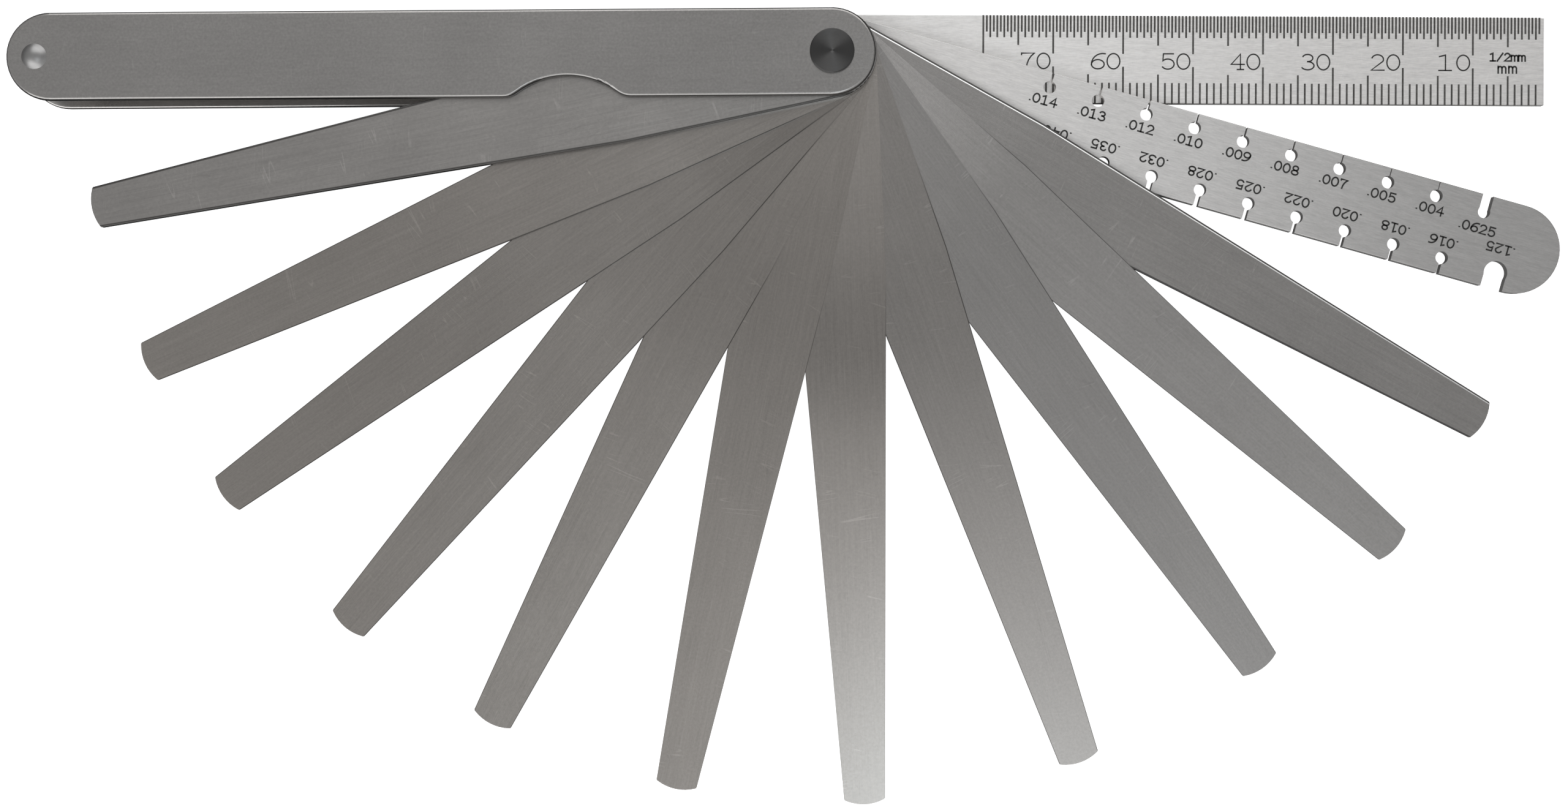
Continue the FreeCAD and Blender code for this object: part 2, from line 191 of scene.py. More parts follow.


# ---- ground and brushed steel ----

# How each kind of flat piece was finished. Lengths are in metres, and tones are shares of the colour. The
# grain is the length and width of its streaks, and the root is the pair of stations between which the painted
# light and shade near the pivot gives way to the piece's own colour. The side shade is painted shade on the
# cut sides. The part of a finish that isn't metallic is matt.
LEAF_FINISH = {
    "metallic": 1.0, "roughness": 0.20, "anisotropy": 0.90, "side_shade": 0.20,
    "grain": (6.0 * MM, 0.10 * MM), "grain_tone": 0.15, "grain_depth": 0.03e-6,
    "mottle_tone": 0.12, "smudge_tone": 0.06, "scratch_share": 0.8,
    "root": (8.0 * MM, 32.0 * MM),
}
CASE_FINISH = {
    "metallic": 1.0, "roughness": 0.22, "anisotropy": 0.75, "side_shade": 0.20, "warmth": 0.027,
    "grain": (3.0 * MM, 0.11 * MM), "grain_tone": 0.06, "grain_depth": 0.03e-6,
    "mottle_tone": 0.17, "smudge_tone": 0.05, "scratch_share": 0.4,
}
SATIN_FINISH = {
    "metallic": 0.6, "roughness": 0.48, "anisotropy": 0.95, "side_shade": 1.0, "warmth": 0.018,
    "grain": (1.2 * MM, 0.12 * MM), "grain_tone": 0.32, "grain_depth": 0.25e-6,
    "mottle_tone": 0.06, "smudge_tone": 0.04, "scratch_share": 0.25,
    "root": (5.0 * MM, 105.0 * MM),
}
SMUDGE_SIZE = 16.0 * MM
MOTTLE_SIZE = 0.35 * MM
# A broad streak is this many times as long and as wide as a fine one.
BROAD_LENGTH = 4
BROAD_WIDTH = 5
# The share of the grain that is in broad streaks.
BROAD_GRAIN = 0.3
# How much the roughness changes with the grain and with smudges.
ROUGHNESS_SPREAD = 0.06

# Scratches: (turn from the grain in degrees, length and spacing, thickness as a share of the spacing, size of
# the patches that they come in, how rare the patches are, tone).
SCRATCHES = (
    (-7.0, 34.0 * MM, 0.9 * MM, 0.005, 16.0 * MM, 0.50, -0.10),
    (11.0, 34.0 * MM, 1.3 * MM, 0.005, 16.0 * MM, 0.50, -0.10),
    (76.0, 30.0 * MM, 0.9 * MM, 0.018, 4.5 * MM, 0.58, 0.19),
    (97.0, 26.0 * MM, 1.1 * MM, 0.015, 4.0 * MM, 0.59, 0.24),
)
SCRATCH_SEED = 0.37
# How far a patch's edge is spread, in the noise's own terms.
PATCH_EDGE = 0.1
# A tangent leans this much out of the face, so that it is never square to a side wall.
TANGENT_LEAN = 0.05


def scratches(graph, place, share):
    """The tone of thin straight marks in patches: some dark along the grain, some bright across it."""
    tone = 0.0
    for layer, (angle, length, spacing, thickness, patch_size, rarity, strength) in enumerate(SCRATCHES):
        seed = (layer + 1) * SCRATCH_SEED
        shifted = graph.vector("ADD", graph.turned(place, math.radians(angle)), (seed, seed, 0))
        line = graph.noise(shifted, (length, spacing, spacing), detail=0.0)
        near = graph.maths("ABSOLUTE", graph.maths("SUBTRACT", line, 0.5))
        thin = graph.ease(near, 0.0, thickness, strength, 0.0)
        patches = graph.noise(shifted, (patch_size,) * 3, detail=1.0)
        patch = graph.ease(patches, rarity, rarity + PATCH_EDGE)
        tone = graph.maths("MULTIPLY_ADD", thin, patch, tone)
    return graph.maths("MULTIPLY", tone, share)


# The long edges of a leaf are darker in a narrow line of painted shade, which comes in along the leaf. The
# line is at its full tone up to this share of its width.
EDGE_SHADE = 0.32
EDGE_FADE = 12.0 * MM
EDGE_CORE = 0.7
# Inside the line the upper edge of the glinting leaf leans outwards and is painted near white, a painted
# highlight, between two distances from the edge.
GLINT_OUTSIDE = 0.27 * MM
GLINT_INSIDE = 0.365 * MM
GLINT_BLUR = 0.03 * MM
GLINT_SLOPE = 0.5
PAINTED_GLINT_COLOUR = 0.95
# A surface counts as a side below the first level and as a face above the second, and a side gets the painted
# side shade. The level is the upward part of its normal.
SIDE_LEVELS = (0.70, 0.98)
# The rounding between a face and its sides is polished, down to this share of the roughness.
ROUNDING_LEVELS = (0.90, 0.99)
ROUNDING_POLISH = 0.55


def edge_shade(graph, distance, station, width, begin):
    """The painted shade of the line along the edges, which has this width and begins at this station."""
    line = graph.ease(distance, EDGE_CORE * width, width, EDGE_SHADE, 1.0)
    come_in = graph.ease(station, begin, begin + EDGE_FADE)
    return graph.maths("MULTIPLY_ADD", graph.maths("SUBTRACT", line, 1.0), come_in, 1.0)


def glint_band(graph, distance, sideways):
    """1 in the band along the upper edge that glints, and 0 elsewhere."""
    inside = graph.ease(distance, GLINT_INSIDE, GLINT_INSIDE + GLINT_BLUR, 1.0, 0.0)
    outside = graph.ease(distance, GLINT_OUTSIDE - GLINT_BLUR, GLINT_OUTSIDE)
    upper = graph.maths("GREATER_THAN", sideways, 0.0)
    return graph.maths("MULTIPLY", graph.maths("MULTIPLY", inside, outside), upper)


def flat_steel(name, finish, angle, edge=None, line=None, glint=False, bow=None):
    """Ground steel whose grain runs at this angle in the object's frame.

    edge works out the distance from the nearest long edge, and line is the (width, first station) of the dark
    line there, which is painted shade. A leaf with a glint has a band beside that line that leans outwards
    and carries a painted highlight. bow is the (flat station, curvature) of a leaf that isn't quite flat.
    """
    material, graph = new_graph(name)
    coordinates = graph.add("ShaderNodeTexCoord").outputs["Object"]
    place = graph.turned(coordinates, angle)
    along = Matrix.Rotation(angle, 3, "Z") @ Vector((1, 0, 0))
    across = Matrix.Rotation(angle, 3, "Z") @ Vector((0, 1, 0))
    length, width = finish["grain"]
    fine = graph.noise(place, (length, width, width), detail=3.0)
    broad_width = BROAD_WIDTH * width
    broad = graph.noise(place, (BROAD_LENGTH * length, broad_width, broad_width), detail=1.0)
    grain = graph.maths("MULTIPLY_ADD", broad, BROAD_GRAIN, graph.maths("MULTIPLY", fine, 1 - BROAD_GRAIN))
    smudge = graph.noise(place, (SMUDGE_SIZE,) * 3, detail=3.0, roughness=0.55)
    mottle = graph.noise(place, (MOTTLE_SIZE,) * 3, detail=2.0, roughness=0.6)
    scratch = scratches(graph, place, finish["scratch_share"])

    station, sideways, _ = graph.split(place)
    normal = graph.add("ShaderNodeNewGeometry").outputs["Normal"]
    level = graph.maths("ABSOLUTE", graph.split(normal)[2])
    if bow:
        flat_station, curvature = bow
        past = graph.maths("SUBTRACT", station, flat_station)
        bent = graph.scaled(graph.to_world(tuple(along)), graph.maths("MULTIPLY", past, curvature))
        normal = graph.vector("NORMALIZE", graph.vector("ADD", normal, bent))
    if edge:
        distance = edge(graph, place)
    if glint:
        band = glint_band(graph, distance, sideways)
        outwards = graph.scaled(graph.to_world(tuple(across)), graph.maths("MULTIPLY", band, GLINT_SLOPE))
        normal = graph.vector("NORMALIZE", graph.vector("ADD", normal, outwards))

    # The tone is 0.5 where the colour is the finish's own.
    tone = graph.maths("ADD", scratch, 0.5)
    for pattern, share in ((grain, "grain_tone"), (smudge, "smudge_tone"), (mottle, "mottle_tone")):
        tone = graph.maths("MULTIPLY_ADD", graph.maths("SUBTRACT", pattern, 0.5), 2 * finish[share], tone)
    warmth = finish["warmth"]
    colour = graph.mixed(tone, grey(finish["colour"] * 0.5, warmth), grey(finish["colour"] * 1.5, warmth))
    # Painted shade: the cut sides are darker than the faces.
    colour = graph.scaled(colour, graph.ease(level, *SIDE_LEVELS, finish["side_shade"], 1.0))
    # Painted shade: a dark line along a leaf's long edges, where the leaves meet.
    if edge:
        colour = graph.scaled(colour, edge_shade(graph, distance, station, *line))
    # Painted highlight: the glint band is mixed towards near white.
    if glint:
        colour = graph.mixed(band, colour, grey(PAINTED_GLINT_COLOUR))
    # Painted light and shade: the tone near the pivot stands for the blade's reflections there.
    if "root" in finish:
        colour = graph.scaled(colour, graph.ease(station, *finish["root"], finish["painted_root_tone"], 1.0))

    polished = finish["roughness"] * ROUNDING_POLISH
    roughness = graph.ease(level, *ROUNDING_LEVELS, polished, finish["roughness"])
    for pattern in (grain, smudge):
        uneven = graph.maths("SUBTRACT", pattern, 0.5)
        roughness = graph.maths("MULTIPLY_ADD", uneven, ROUGHNESS_SPREAD, roughness)
    height = graph.maths("MULTIPLY", graph.maths("ADD", grain, scratch), finish["grain_depth"])
    bump = graph.add("ShaderNodeBump", {"Height": height, "Distance": 1.0, "Normal": normal})
    tangent = graph.to_world(tuple(across + Vector((0, 0, TANGENT_LEAN))))
    finish_metal(graph, Base_Color=colour, Metallic=finish["metallic"], Roughness=roughness,
                 Anisotropic=finish["anisotropy"], Normal=bump.outputs["Normal"], Tangent=tangent)
    return material


def tapered_edge(blade):
    """The distance from the long edge of a leaf, which tapers towards its tip."""
    taper = (blade.half_width - LEAF_TIP_HALF_WIDTH) / (blade.reach - LEAF_PARALLEL_LENGTH)

    def distance(graph, place):
        station, sideways, _ = graph.split(place)
        past = graph.maths("MAXIMUM", graph.maths("SUBTRACT", station, LEAF_PARALLEL_LENGTH), 0.0)
        half = graph.maths("MULTIPLY_ADD", past, -taper, blade.half_width)
        return graph.maths("SUBTRACT", half, graph.maths("ABSOLUTE", sideways))
    return distance


# Each leaf's own grind, painted light and shade, and bow: (colour, which is partly painted light and shade,
# warmth, roughness, painted tone near the pivot, width of the painted dark line and station where it begins
# in mm, station of the flat place in mm, curvature per metre).
LEAF_GRINDS_AND_SHADES = (
    (0.490, 0.035, 0.210, 1.00, 0.40, -12, 40, 0.0),
    (0.460, 0.066, 0.180, 0.98, 0.15, 0, 40, 0.0),
    (0.445, 0.066, 0.165, 0.88, 0.15, 0, 40, 0.0),
    (0.460, 0.066, 0.170, 1.00, 0.14, 4, 40, -0.4),
    (0.470, 0.066, 0.180, 1.12, 0.14, 26, 40, -0.6),
    (0.500, 0.066, 0.180, 1.16, 0.07, 30, 45, -1.2),
    (0.515, 0.060, 0.180, 1.17, 0.07, 30, 45, 0.1),
    (0.535, 0.045, 0.180, 1.02, 0.14, 16, 45, -0.8),
    (0.530, 0.025, 0.225, 1.16, 0.12, 22, 40, -1.3),
    (0.530, 0.027, 0.230, 1.38, 0.11, 18, 40, -1.6),
    (0.490, 0.030, 0.215, 1.12, 0.27, -12, 30, -2.3),
)
# The satin blades: (name, colour, tone of painted light near the pivot).
SATIN_BLADES = (("wire_gauge", 0.52, 1.60), ("rule", 0.88, 1.05))
# The back plate is paler than the front one: painted light against the shade under the leaves.
CASE_PLATES = (("front_plate", 0.482), ("back_plate", 0.72))


def finish_blades():
    for name, grind_and_shade in zip(LEAF_NAMES, LEAF_GRINDS_AND_SHADES):
        colour, warmth, roughness, painted_root_tone, line_width, begin, flat_station, curvature = grind_and_shade
        blade = BLADES[name]
        own = {"colour": colour, "warmth": warmth, "roughness": roughness, "painted_root_tone": painted_root_tone}
        line = (line_width * MM, begin * MM)
        bow = (flat_station * MM, curvature)
        steel = flat_steel(f"{name}_steel", {**LEAF_FINISH, **own}, blade.angle, edge=tapered_edge(blade),
                           line=line, glint=name == GLINTING_LEAF, bow=bow)
        paint(name, steel)
    for name, colour, painted_root_tone in SATIN_BLADES:
        finish = {**SATIN_FINISH, "colour": colour, "painted_root_tone": painted_root_tone}
        paint(name, flat_steel(f"{name}_steel", finish, BLADES[name].angle))


def finish_case():
    for name, colour in CASE_PLATES:
        paint(name, flat_steel(f"{name}_steel", {**CASE_FINISH, "colour": colour}, 0.0))


# ---- turned pieces ----

# Stains on turned steel: their size, and how much they and the rings change the colour and the roughness.
STAIN_SIZE = 1.5 * MM
TURNED_TONE = 0.25
TURNED_WARMTH = 0.01
TURNED_ROUGHNESS_SPREAD = 0.12
# Each turned finish: (name, pieces on one axis, colour, roughness, anisotropy, width of the rings in mm,
# depth of the rings in micrometres).
TURNED_FINISHES = (
    ("pivot_steel", ("pivot_pin", "pivot_collar"), 0.115, 0.36, 0.93, 0.07, 0.4),
    ("rivet_steel", ("end_rivet",), 0.42, 0.36, 0.0, 0.25, 0.1),
    ("spacer_steel", ("end_spacer",), 0.42, 0.32, 0.5, 0.12, 0.5),
    ("spring_steel", ("spring_washer",), 0.28, 0.34, 0.4, 0.30, 0.5),
)


def turned_steel(name, centre, colour, roughness, anisotropy, ring_width, ring_depth):
    """Lathe-turned steel: fine rings about an upright axis through centre spread highlights outwards."""
    material, graph = new_graph(name)
    coordinates = graph.add("ShaderNodeTexCoord").outputs["Object"]
    from_axis = graph.vector("MULTIPLY", graph.vector("SUBTRACT", coordinates, tuple(centre)), (1, 1, 0))
    radius = graph.vector("LENGTH", from_axis)
    outwards = graph.vector("NORMALIZE", from_axis)
    height = graph.split(coordinates)[2]
    ring_place = graph.add("ShaderNodeCombineXYZ", {"X": radius, "Y": height}).outputs["Vector"]
    rings = graph.noise(ring_place, (ring_width,) * 3, detail=2.0, roughness=0.6)
    stain = graph.noise(coordinates, (STAIN_SIZE,) * 3, detail=3.0)
    share = graph.maths("MULTIPLY_ADD", rings, 0.5, graph.maths("MULTIPLY", stain, 0.5))
    dark = grey(colour * (1 - TURNED_TONE), TURNED_WARMTH)
    pale = grey(colour * (1 + TURNED_TONE), TURNED_WARMTH)
    tint = graph.mixed(share, dark, pale)
    off_middle = graph.maths("SUBTRACT", stain, 0.5)
    uneven = graph.maths("MULTIPLY_ADD", off_middle, TURNED_ROUGHNESS_SPREAD, roughness)
    groove = graph.maths("MULTIPLY", rings, ring_depth)
    bump = graph.add("ShaderNodeBump", {"Height": groove, "Distance": 1.0})
    lean = graph.vector("ADD", outwards, (0, 0, TANGENT_LEAN))
    finish_metal(graph, Base_Color=tint, Roughness=uneven, Anisotropic=anisotropy,
                 Normal=bump.outputs["Normal"], Tangent=graph.to_world(lean))
    return material


def axis_of(name):
    """The point on a turned piece's axis at height zero."""
    low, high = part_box(name)
    return Vector(((low.x + high.x) / 2, (low.y + high.y) / 2, 0))


def finish_turned():
    for name, pieces, colour, roughness, anisotropy, ring_width, ring_depth in TURNED_FINISHES:
        steel = turned_steel(name, axis_of(pieces[0]), colour, roughness, anisotropy, ring_width * MM,
                             ring_depth * MICRON)
        for piece in pieces:
            paint(piece, steel)


# ---- lettering ----

ARC_STEP = 15


def arc(x, y, width, height, start, end):
    """Points along an ellipse of this width and height, from one angle to another in degrees."""
    count = round(abs(end - start) / ARC_STEP)
    angles = [math.radians(start + (end - start) * k / count) for k in range(count + 1)]
    return [(x + width / 2 * math.cos(a), y + height / 2 * math.sin(a)) for a in angles]


def half_turn(strokes):
    """The same strokes upside down, in a cell that is one high."""
    return [[(-x, 1 - y) for x, y in points] for points in strokes]


# Strokes of single-line characters that are one high, stand on y = 0 and are centred on x = 0.
SIX = [arc(0.29, 0.30, 1.32, 1.40, 78, 180), arc(0, 0.30, 0.74, 0.60, 180, 540)]
GLYPHS = {
    "0": [arc(0, 0.5, 0.74, 1.0, 90, 450)],
    "1": [[(-0.30, 0.88), (0, 1), (0, 0)], [(-0.32, 0), (0.32, 0)]],
    "2": [arc(0, 0.70, 0.68, 0.60, 160, -25) + [(-0.37, 0), (0.37, 0)]],
    "3": [arc(0, 0.765, 0.60, 0.47, 155, -90), arc(0, 0.265, 0.74, 0.53, 90, -150)],
    "4": [[(0.16, 0), (0.16, 1), (-0.38, 0.33), (0.38, 0.33)]],
    "5": [[(0.32, 1), (-0.25, 1)] + arc(0, 0.33, 0.74, 0.66, 140, -145)],
    "6": SIX,
    "7": [[(-0.37, 0.90), (-0.37, 1), (0.37, 1)] + arc(0.90, 0, 1.96, 2.38, 123, 180)],
    "8": [arc(0, 0.75, 0.60, 0.50, 270, 630), arc(0, 0.25, 0.74, 0.50, 90, 450)],
    "9": half_turn(SIX),
    "/": [[(-0.36, 0), (0.36, 1)]],
    "m": [
        [(-0.43, 0), (-0.43, 0.74)],
        [(-0.43, 0.5)] + arc(-0.215, 0.5, 0.43, 0.46, 180, 0) + [(0, 0)],
        [(0, 0.5)] + arc(0.215, 0.5, 0.43, 0.46, 180, 0) + [(0.43, 0)],
    ],
}
# The rule's figures differ in two characters: the four has a foot, and the one stands to the left.
RULE_GLYPHS = {
    **GLYPHS,
    "1": [[(-0.47, 0.90), (-0.12, 1), (-0.12, 0)], [(-0.50, 0), (0.22, 0)]],
    "4": GLYPHS["4"] + [[(-0.02, 0), (0.34, 0)]],
}


class Engraving:
    """Thin closed strokes let into the front face of a blade, drawn in the blade's own frame."""

    SUNK = 0.020 * MM
    PROUD = 0.008 * MM

    def __init__(self, blade, name):
        self.blade = blade
        self.name = name
        self.mesh = bmesh.new()

    def stroke(self, points, width):
        """Adds a closed prism along a line of points. A line that ends where it starts becomes a ring."""
        line = [Vector(point) for point in points]
        ring = (line[0] - line[-1]).length < width / 10
        if ring:
            line.pop()
        sections = [self.section(line, k, ring, width) for k in range(len(line))]
        pairs = list(zip(sections, sections[1:]))
        if ring:
            pairs.append((sections[-1], sections[0]))
        for one, other in pairs:
            for k in range(4):
                self.mesh.faces.new((one[k], one[k - 1], other[k - 1], other[k]))
        if not ring:
            self.mesh.faces.new(sections[0])
            self.mesh.faces.new(reversed(sections[-1]))

    def section(self, line, k, ring, width):
        """The four corners of a stroke at one of its points, mitred where the line turns."""
        here = line[k]
        before = line[k - 1] if ring or k else here
        after = line[(k + 1) % len(line)] if ring or k < len(line) - 1 else here
        entering = (here - before).normalized() if before != here else (after - here).normalized()
        leaving = (after - here).normalized() if after != here else entering
        middle = (entering + leaving).normalized()
        side = Vector((-middle.y, middle.x)) * (width / 2 / max(middle.dot(entering), 0.5))
        if not ring and k == 0:
            here = here - leaving * width / 2
        if not ring and k == len(line) - 1:
            here = here + entering * width / 2
        low = self.blade.top - self.SUNK
        high = self.blade.top + self.PROUD
        left, right = here + side, here - side
        corners = ((*left, low), (*left, high), (*right, high), (*right, low))
        return [self.mesh.verts.new(corner) for corner in corners]

    def write(self, text, station, baseline, height, pitch, width, upside_down=False, glyphs=GLYPHS,
              stretch=1.0):
        """Writes a text whose middle is at this station. Each character has a cell of one pitch."""
        turn = -1 if upside_down else 1
        for place, character in enumerate(text):
            centre = (place - (len(text) - 1) / 2) * pitch
            for points in glyphs[character]:
                placed = [(station + turn * (centre + x * stretch * height), baseline + turn * y * height)
                          for x, y in points]
                self.stroke(placed, width)

    def dot(self, station, across, size):
        """A dot is one short wide stroke."""
        self.stroke([(station - size / 8, across), (station + size / 8, across)], size * 0.75)

    def finish(self, body, material):
        """Turns the strokes into one piece that rides on the blade's body."""
        bmesh.ops.recalc_face_normals(self.mesh, faces=self.mesh.faces)
        data = bpy.data.meshes.new(self.name)
        self.mesh.to_mesh(data)
        self.mesh.free()
        data.transform(self.blade.turn)
        data.materials.append(material)
        piece = bpy.data.objects.new(self.name, data)
        bpy.context.scene.collection.objects.link(piece)
        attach(piece, body)


# ---- the rule's scales ----

RULE_LINE = 0.26 * MM
RULE_STROKE = 0.19 * MM
UNIT_STROKE = 0.23 * MM
RULE_LAST_MARK = 80
SCALE_START = 0.19 * MM
FIGURE_HEIGHT = 2.2 * MM
FIGURE_PITCH = 2.24 * MM
FIGURE_STRETCH = 1.12
FIGURE_GAP = 1.37 * MM
FIGURE_BASELINE = -1.34 * MM
# Line lengths in mm, by how many half millimetres lie between lines of that length.
UPPER_LINES = {20: 5.3, 10: 4.1, 2: 3.0, 1: 2.2}
LOWER_LINES = {20: 5.1, 10: 4.0, 2: 2.8}
EDGE_MARGIN = 0.10 * MM
# The units at the free end, the upper scale's first: (text, baseline, height and pitch in mm).
UNIT_INSET = 5.25 * MM
UNITS = (("1/2mm", 0.06, 1.08, 1.04), ("mm", -1.66, 1.26, 1.52))


def scale_lines(engraving, lines, side):
    """One scale: lines from an edge of the rule inwards, from its free end towards the pivot."""
    blade = engraving.blade
    edge = blade.half_width - EDGE_MARGIN
    finest = min(lines)
    for half_millimetres in range(finest, 2 * RULE_LAST_MARK + 1, finest):
        step = max(s for s in lines if half_millimetres % s == 0)
        station = blade.reach - SCALE_START - half_millimetres * MM / 2
        inner = blade.half_width - lines[step] * MM
        engraving.stroke([(station, side * edge), (station, side * inner)], RULE_LINE)


def engrave_rule(line_material, figure_material):
    blade = BLADES["rule"]
    scale = Engraving(blade, "rule_scale_lines")
    scale_lines(scale, UPPER_LINES, 1)
    scale_lines(scale, LOWER_LINES, -1)
    scale.finish("rule", line_material)

    figures = Engraving(blade, "rule_figures")
    for tens in range(1, RULE_LAST_MARK // 10 + 1):
        station = blade.reach - SCALE_START - tens * 10 * MM - FIGURE_GAP - FIGURE_PITCH / 2
        figures.write(f"{tens}0", station, FIGURE_BASELINE, FIGURE_HEIGHT, FIGURE_PITCH, RULE_STROKE,
                      glyphs=RULE_GLYPHS, stretch=FIGURE_STRETCH)
    for text, baseline, height, pitch in UNITS:
        figures.write(text, blade.reach - UNIT_INSET, baseline * MM, height * MM, pitch * MM, UNIT_STROKE)
    figures.finish("rule", figure_material)


# ---- the wire gauge's sizes ----

LABEL_HEIGHT = 1.25 * MM
LABEL_PITCH = 1.26 * MM
LABEL_STROKE = 0.225 * MM
LABEL_DOT = 0.25 * MM
LABEL_DOT_GAP = 0.87 * MM
HOLE_PITCH = 7.144 * MM
# Sizes from the pivot outwards. Each row has the first hole's station, the figures' shift from the holes and
# the figures' middle line.
UPPER_SIZES = ("014", "013", "012", "010", "009", "008", "007", "005", "004")
LOWER_SIZES = ("040", "035", "032", "028", "025", "022", "020", "018", "016")
UPPER_ROW = {"first": 31.1 * MM, "shift": -0.15 * MM, "middle": 2.25 * MM}
LOWER_ROW = {"first": 34.2 * MM, "shift": -0.58 * MM, "middle": -1.77 * MM}
# The two wide slots near the tip: (size, station and middle line in mm, upside down).
SLOT_SIZES = (("0625", 95.31, 1.40, False), ("125", 98.83, -0.57, True))


def size_label(engraving, digits, station, middle, upside_down):
    """A decimal size in inches, written as a point and its digits."""
    turn = -1 if upside_down else 1
    baseline = middle - turn * LABEL_HEIGHT / 2
    first = station - turn * (len(digits) - 1) / 2 * LABEL_PITCH
    engraving.write(digits, station, baseline, LABEL_HEIGHT, LABEL_PITCH, LABEL_STROKE, upside_down)
    engraving.dot(first - turn * LABEL_DOT_GAP, baseline + turn * LABEL_DOT / 2, LABEL_DOT)


def engrave_wire_gauge(material):
    sizes = Engraving(BLADES["wire_gauge"], "wire_gauge_sizes")
    for texts, row, upside_down in ((UPPER_SIZES, UPPER_ROW, False), (LOWER_SIZES, LOWER_ROW, True)):
        for place, digits in enumerate(texts):
            station = row["first"] + place * HOLE_PITCH + row["shift"]
            size_label(sizes, digits, station, row["middle"], upside_down)
    for digits, station, middle, upside_down in SLOT_SIZES:
        size_label(sizes, digits, station * MM, middle * MM, upside_down)
    sizes.finish("wire_gauge", material)


# Where the marks are worn: the size of the places, and how the roughness goes from whole to worn.
WEAR_SIZE = 0.5 * MM
WEAR_ROUGHNESS = (0.50, 0.68)
MARK_WARMTH = 0.05


def mark_material(name, dark, pale):
    """Matt etching, thinner and paler in places."""
    material, graph = new_graph(name)
    coordinates = graph.add("ShaderNodeTexCoord").outputs["Object"]
    wear = graph.noise(coordinates, (WEAR_SIZE,) * 3, detail=3.0, roughness=0.6)
    worn = graph.ease(wear, 0.35, 0.75)
    colour = graph.mixed(worn, grey(dark, MARK_WARMTH), grey(pale, MARK_WARMTH))
    roughness = graph.ease(wear, 0.3, 0.7, *WEAR_ROUGHNESS)
    shader = graph.add("ShaderNodeBsdfPrincipled", {"Base Color": colour, "Roughness": roughness})
    graph.add("ShaderNodeOutputMaterial", {"Surface": shader.outputs["BSDF"]})
    return material


# ---- studio ----

FLOOR_SIZE = 6.0
FLOOR_GAP = 0.1 * MM
FLOOR_PATCH = 0.4
FLOOR_SHADES = (0.82, 0.88)
# How pale the floor is in reflections, so that the sides of the pieces stay darker than the floor.
FLOOR_REFLECTED = 0.20
# Straight above the middle of the object, all but a millimetre, and turned very slightly.
CAMERA_OFFSET = Vector((-0.985, 0.69, 0)) * MM
CAMERA_HEIGHT = 232.25 * MM
CAMERA_TURN = math.radians(-0.40)
CAMERA_LENS = 38.22
CAMERA_SENSOR = 36.0


def add_floor():
    """A plain pale floor that glows as a light table does. From below it can be looked through."""
    half = FLOOR_SIZE / 2
    z = OBJECT_LOW.z - FLOOR_GAP
    data = bpy.data.meshes.new("floor")
    corners = [(-half, -half, z), (half, -half, z), (half, half, z), (-half, half, z)]
    data.from_pydata(corners, [], [(0, 1, 2, 3)])
    material, graph = new_graph("floor_white")
    coordinates = graph.add("ShaderNodeTexCoord").outputs["Object"]
    shade = graph.noise(coordinates, (FLOOR_PATCH,) * 3, detail=2.0)
    colour = graph.mixed(shade, *(grey(level) for level in FLOOR_SHADES))
    seen = graph.add("ShaderNodeLightPath").outputs["Is Camera Ray"]
    shader = graph.add("ShaderNodeBsdfPrincipled", {
        "Base Color": graph.mixed(seen, grey(FLOOR_REFLECTED), colour),
        "Roughness": 0.8, "Specular IOR Level": 0.1,
        "Emission Color": (1, 1, 1, 1), "Emission Strength": seen,
    })
    from_below = graph.add("ShaderNodeNewGeometry").outputs["Backfacing"]
    clear = graph.add("ShaderNodeBsdfTransparent").outputs["BSDF"]
    surface = graph.add("ShaderNodeMixShader", {0: from_below, 1: shader.outputs["BSDF"], 2: clear})
    graph.add("ShaderNodeOutputMaterial", {"Surface": surface.outputs["Shader"]})
    data.materials.append(material)
    floor = bpy.data.objects.new("floor", data)
    bpy.context.scene.collection.objects.link(floor)


# Soft boxes: (name, azimuth and elevation in degrees, distance, width and height in metres, brightness).
SOFT_BOXES = (
    ("far_box", 88.0, 32.0, 1.0, 1.20, 0.95, 1.00),
    ("near_box", -118.0, 38.0, 1.0, 1.30, 0.75, 1.00),
)


def add_soft_box(name, azimuth, elevation, distance, width, height, brightness):
    """A rectangular light that faces the object."""
    data = bpy.data.lights.new(name, "AREA")
    data.shape = "RECTANGLE"
    data.size = width
    data.size_y = height
    data.energy = math.pi * width * height * brightness
    light = bpy.data.objects.new(name, data)
    bearing, tilt = math.radians(azimuth), math.radians(elevation)
    level = math.cos(tilt)
    direction = Vector((math.cos(bearing) * level, math.sin(bearing) * level, math.sin(tilt)))
    light.location = OBJECT_CENTRE + direction * distance
    light.rotation_euler = direction.to_track_quat("Z", "Y").to_euler()
    light.visible_camera = False
    bpy.context.scene.collection.objects.link(light)


# The studio's light by direction. A slope is how far a direction leans for a rise of one: to the right, or
# towards the viewer's side.
LOWEST_RISE = 0.05
CEILING_FAR = 0.33
CEILING_MIDDLE = 0.39
CEILING_NEAR = 0.51
FAR_TO_MIDDLE = (-0.02, 0.03)
MIDDLE_TO_NEAR = (0.05, 0.40)
PANEL_CENTRE = (0.13, 0.36)
PANEL_NARROWNESS = 2.6
PANEL_RADII = (0.05, 0.42)
PANEL_END = (0.32, 0.46)
PANEL_LIGHT = 1.9
PANEL_TINT = (0.90, 1.0, 1.07, 1.0)
LENS_CENTRE = (0.03, -0.032)
LENS_RADII = (0.03, 0.07)
LENS_SHADE = 0.35
HORIZON_RISES = (0.10, 0.50)
HORIZON_SHADE = 0.55
BACKDROP_LIGHT = 0.86


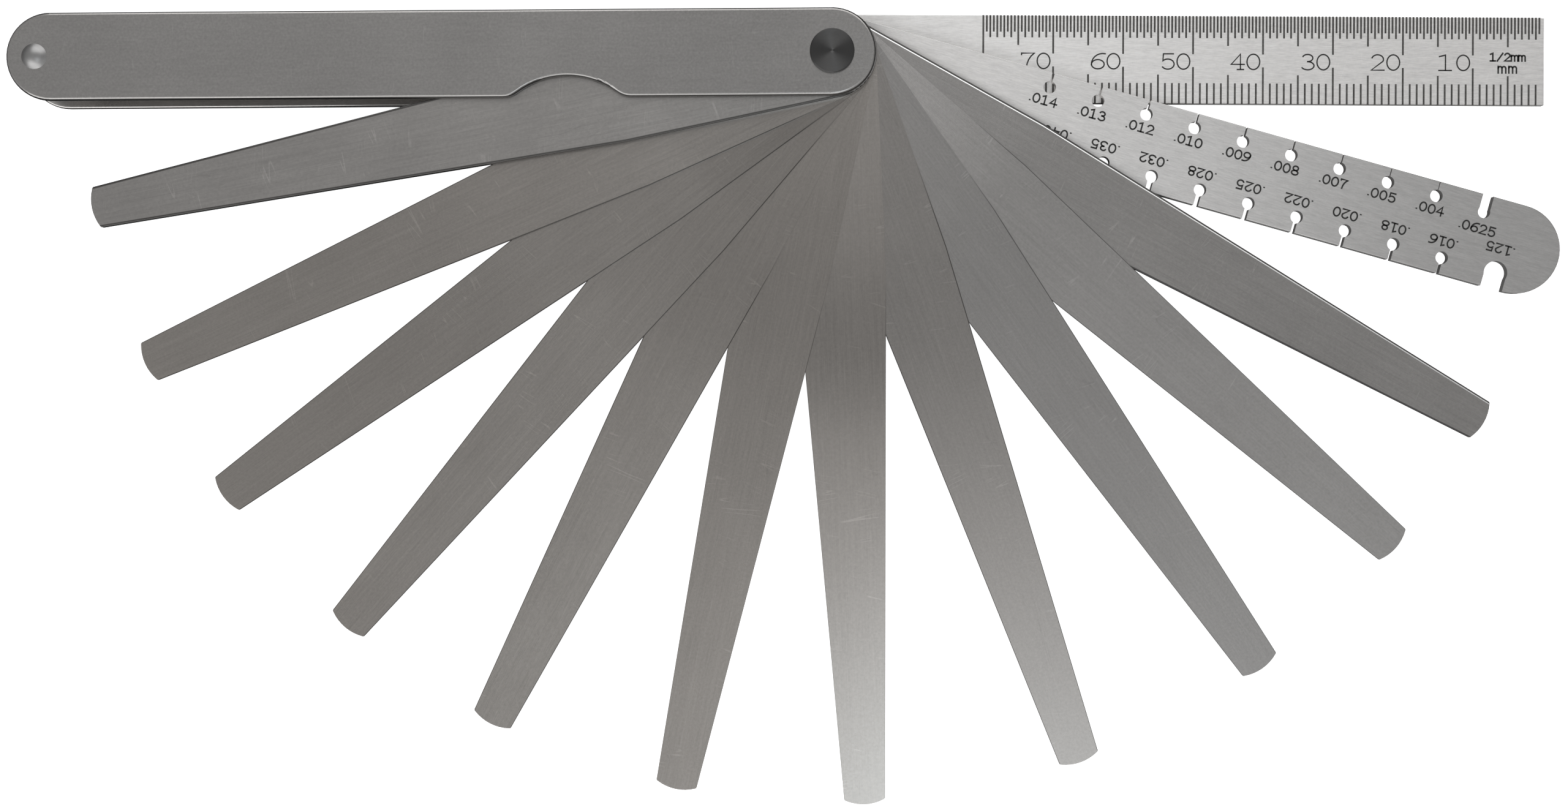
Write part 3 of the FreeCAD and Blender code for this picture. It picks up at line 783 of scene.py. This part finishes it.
def add_world():
    """A ceiling that is brighter on the viewer's side, with a soft panel there and a dark lens above."""
    world = bpy.data.worlds.new("studio")
    bpy.context.scene.world = world
    world.use_nodes = True
    graph = Graph(world.node_tree)
    x, y, rise = graph.split(graph.add("ShaderNodeTexCoord").outputs["Generated"])
    up = graph.maths("MAXIMUM", rise, LOWEST_RISE)
    right = graph.maths("DIVIDE", x, up)
    towards = graph.maths("MULTIPLY", graph.maths("DIVIDE", y, up), -1.0)
    slopes = graph.add("ShaderNodeCombineXYZ", {"X": right, "Y": towards}).outputs["Vector"]

    light = graph.ease(towards, *FAR_TO_MIDDLE, CEILING_FAR, CEILING_MIDDLE)
    nearer = graph.ease(towards, *MIDDLE_TO_NEAR, 0.0, CEILING_NEAR - CEILING_MIDDLE)
    light = graph.maths("ADD", light, nearer)
    from_panel = graph.vector("SUBTRACT", slopes, (*PANEL_CENTRE, 0))
    from_panel = graph.vector("LENGTH", graph.vector("MULTIPLY", from_panel, (PANEL_NARROWNESS, 1, 1)))
    panel = graph.maths("MAXIMUM", graph.ease(from_panel, *PANEL_RADII), graph.ease(towards, *PANEL_END))
    light = graph.maths("ADD", light, graph.maths("MULTIPLY_ADD", panel, -PANEL_LIGHT, PANEL_LIGHT))
    from_lens = graph.vector("LENGTH", graph.vector("SUBTRACT", slopes, (*LENS_CENTRE, 0)))
    light = graph.maths("MULTIPLY", light, graph.ease(from_lens, *LENS_RADII, LENS_SHADE, 1.0))
    light = graph.maths("MULTIPLY", light, graph.ease(rise, *HORIZON_RISES, HORIZON_SHADE, 1.0))

    seen = graph.add("ShaderNodeLightPath").outputs["Is Camera Ray"]
    strength = graph.maths("MAXIMUM", light, graph.maths("MULTIPLY", seen, BACKDROP_LIGHT))
    colour = graph.mixed(panel, PANEL_TINT, grey(1.0))
    background = graph.add("ShaderNodeBackground", {"Color": colour, "Strength": strength})
    graph.add("ShaderNodeOutputWorld", {"Surface": background.outputs["Background"]})


def add_camera():
    data = bpy.data.cameras.new("camera")
    data.sensor_width = CAMERA_SENSOR
    data.lens = CAMERA_LENS
    data.clip_start = CAMERA_HEIGHT / 100
    data.clip_end = 2 * FLOOR_SIZE
    camera = bpy.data.objects.new("camera", data)
    top = Vector((OBJECT_CENTRE.x, OBJECT_CENTRE.y, OBJECT_HIGH.z + CAMERA_HEIGHT))
    camera.location = top + CAMERA_OFFSET
    camera.rotation_euler = (0, 0, CAMERA_TURN)
    bpy.context.scene.collection.objects.link(camera)
    bpy.context.scene.camera = camera


finish_blades()
finish_case()
finish_turned()
black = mark_material("mark_black", 0.015, 0.040)
thin_grey = mark_material("mark_grey", 0.060, 0.110)
engrave_rule(thin_grey, black)
engrave_wire_gauge(black)
add_floor()
for soft_box in SOFT_BOXES:
    add_soft_box(*soft_box)
add_world()
add_camera()
bpy.context.scene.view_settings.view_transform = "Standard"
